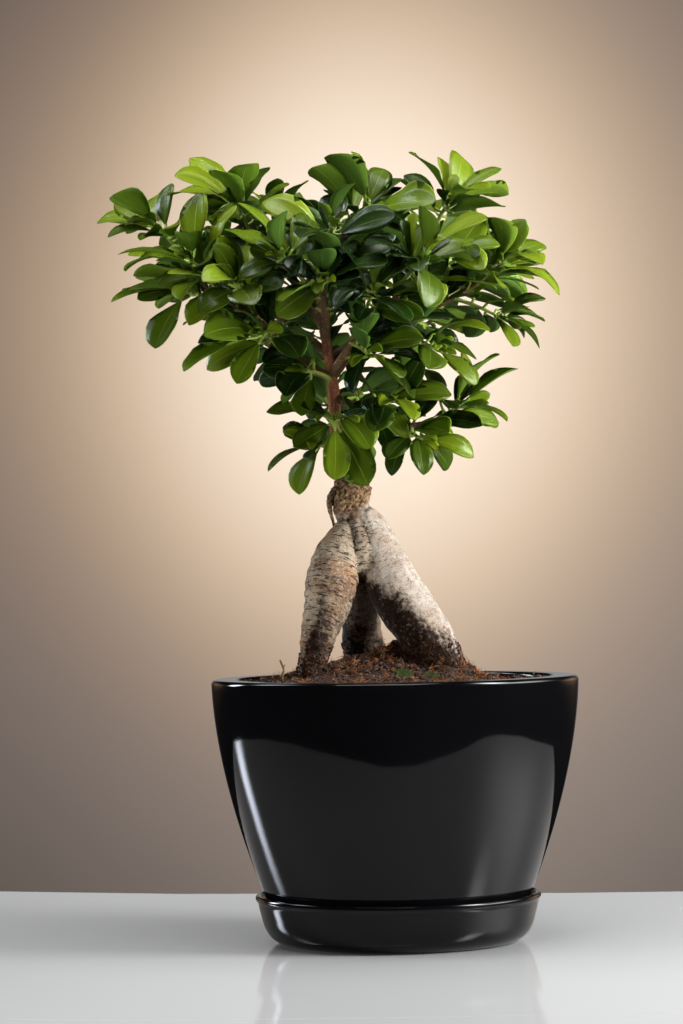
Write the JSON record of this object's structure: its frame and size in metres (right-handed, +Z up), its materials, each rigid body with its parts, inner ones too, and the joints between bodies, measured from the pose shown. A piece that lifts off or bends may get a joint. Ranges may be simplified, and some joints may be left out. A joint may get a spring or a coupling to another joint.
{
  "type": "potted ginseng fig bonsai",
  "caption": "Small fig bonsai on swollen bare roots, in a round glazed pot with a thick flat rim, standing in a matching saucer.",
  "frame": {"origin": "centre of the saucer's flat underside, on the surface that it stands on", "axes": "+Z up along the pot's axis; the tree's front, with its two large roots, faces -Y, and +X is to its viewer's right"},
  "size_m": [0.285, 0.2469, 0.472],
  "materials": {
    "glaze": "high-gloss black glaze over earthenware",
    "peat": "damp red-brown peat compost with fibres and a little moss",
    "bark": "pale grey-beige root bark with dark cross rings, red-brown on the stem",
    "foliage": "glossy leathery leaves, bright green when young and deep green inside"
  },
  "bodies": {
    "root": {"saucer": "glaze", "pot": "glaze", "soil": "peat", "trunk": "bark", "shoot_far_left": "foliage", "shoot_left": "foliage", "shoot_low_left": "foliage", "shoot_left_dark": "foliage", "shoot_left_mid": "foliage", "shoot_stem_left": "foliage", "shoot_foot_left": "foliage", "shoot_foot_front": "foliage", "shoot_foot_mid": "foliage", "shoot_foot_right": "foliage", "shoot_low_right": "foliage", "shoot_right": "foliage", "shoot_right_low": "foliage", "shoot_right_mid": "foliage", "shoot_top_right": "foliage", "shoot_front_right": "foliage", "shoot_top_mid": "foliage", "shoot_top_left": "foliage", "shoot_top_back_left": "foliage", "shoot_front_left": "foliage", "shoot_top_front": "foliage", "shoot_centre": "foliage", "shoot_centre_right": "foliage", "shoot_low_mid": "foliage", "shoot_low_mid_right": "foliage", "shoot_right_back": "foliage", "shoot_back_right_end": "foliage", "shoot_back_right_top": "foliage", "shoot_back_right_low": "foliage", "shoot_back_end": "foliage", "shoot_back_high_left": "foliage", "shoot_back_high_right": "foliage", "shoot_back_top": "foliage", "shoot_back_left_end": "foliage", "shoot_back_left_top": "foliage", "shoot_back_left_low": "foliage", "shoot_left_back": "foliage", "shoot_back_low_end": "foliage", "shoot_back_low_right": "foliage", "shoot_back_low_left": "foliage", "shoot_back_foot": "foliage"}
  },
  "joints": []
}
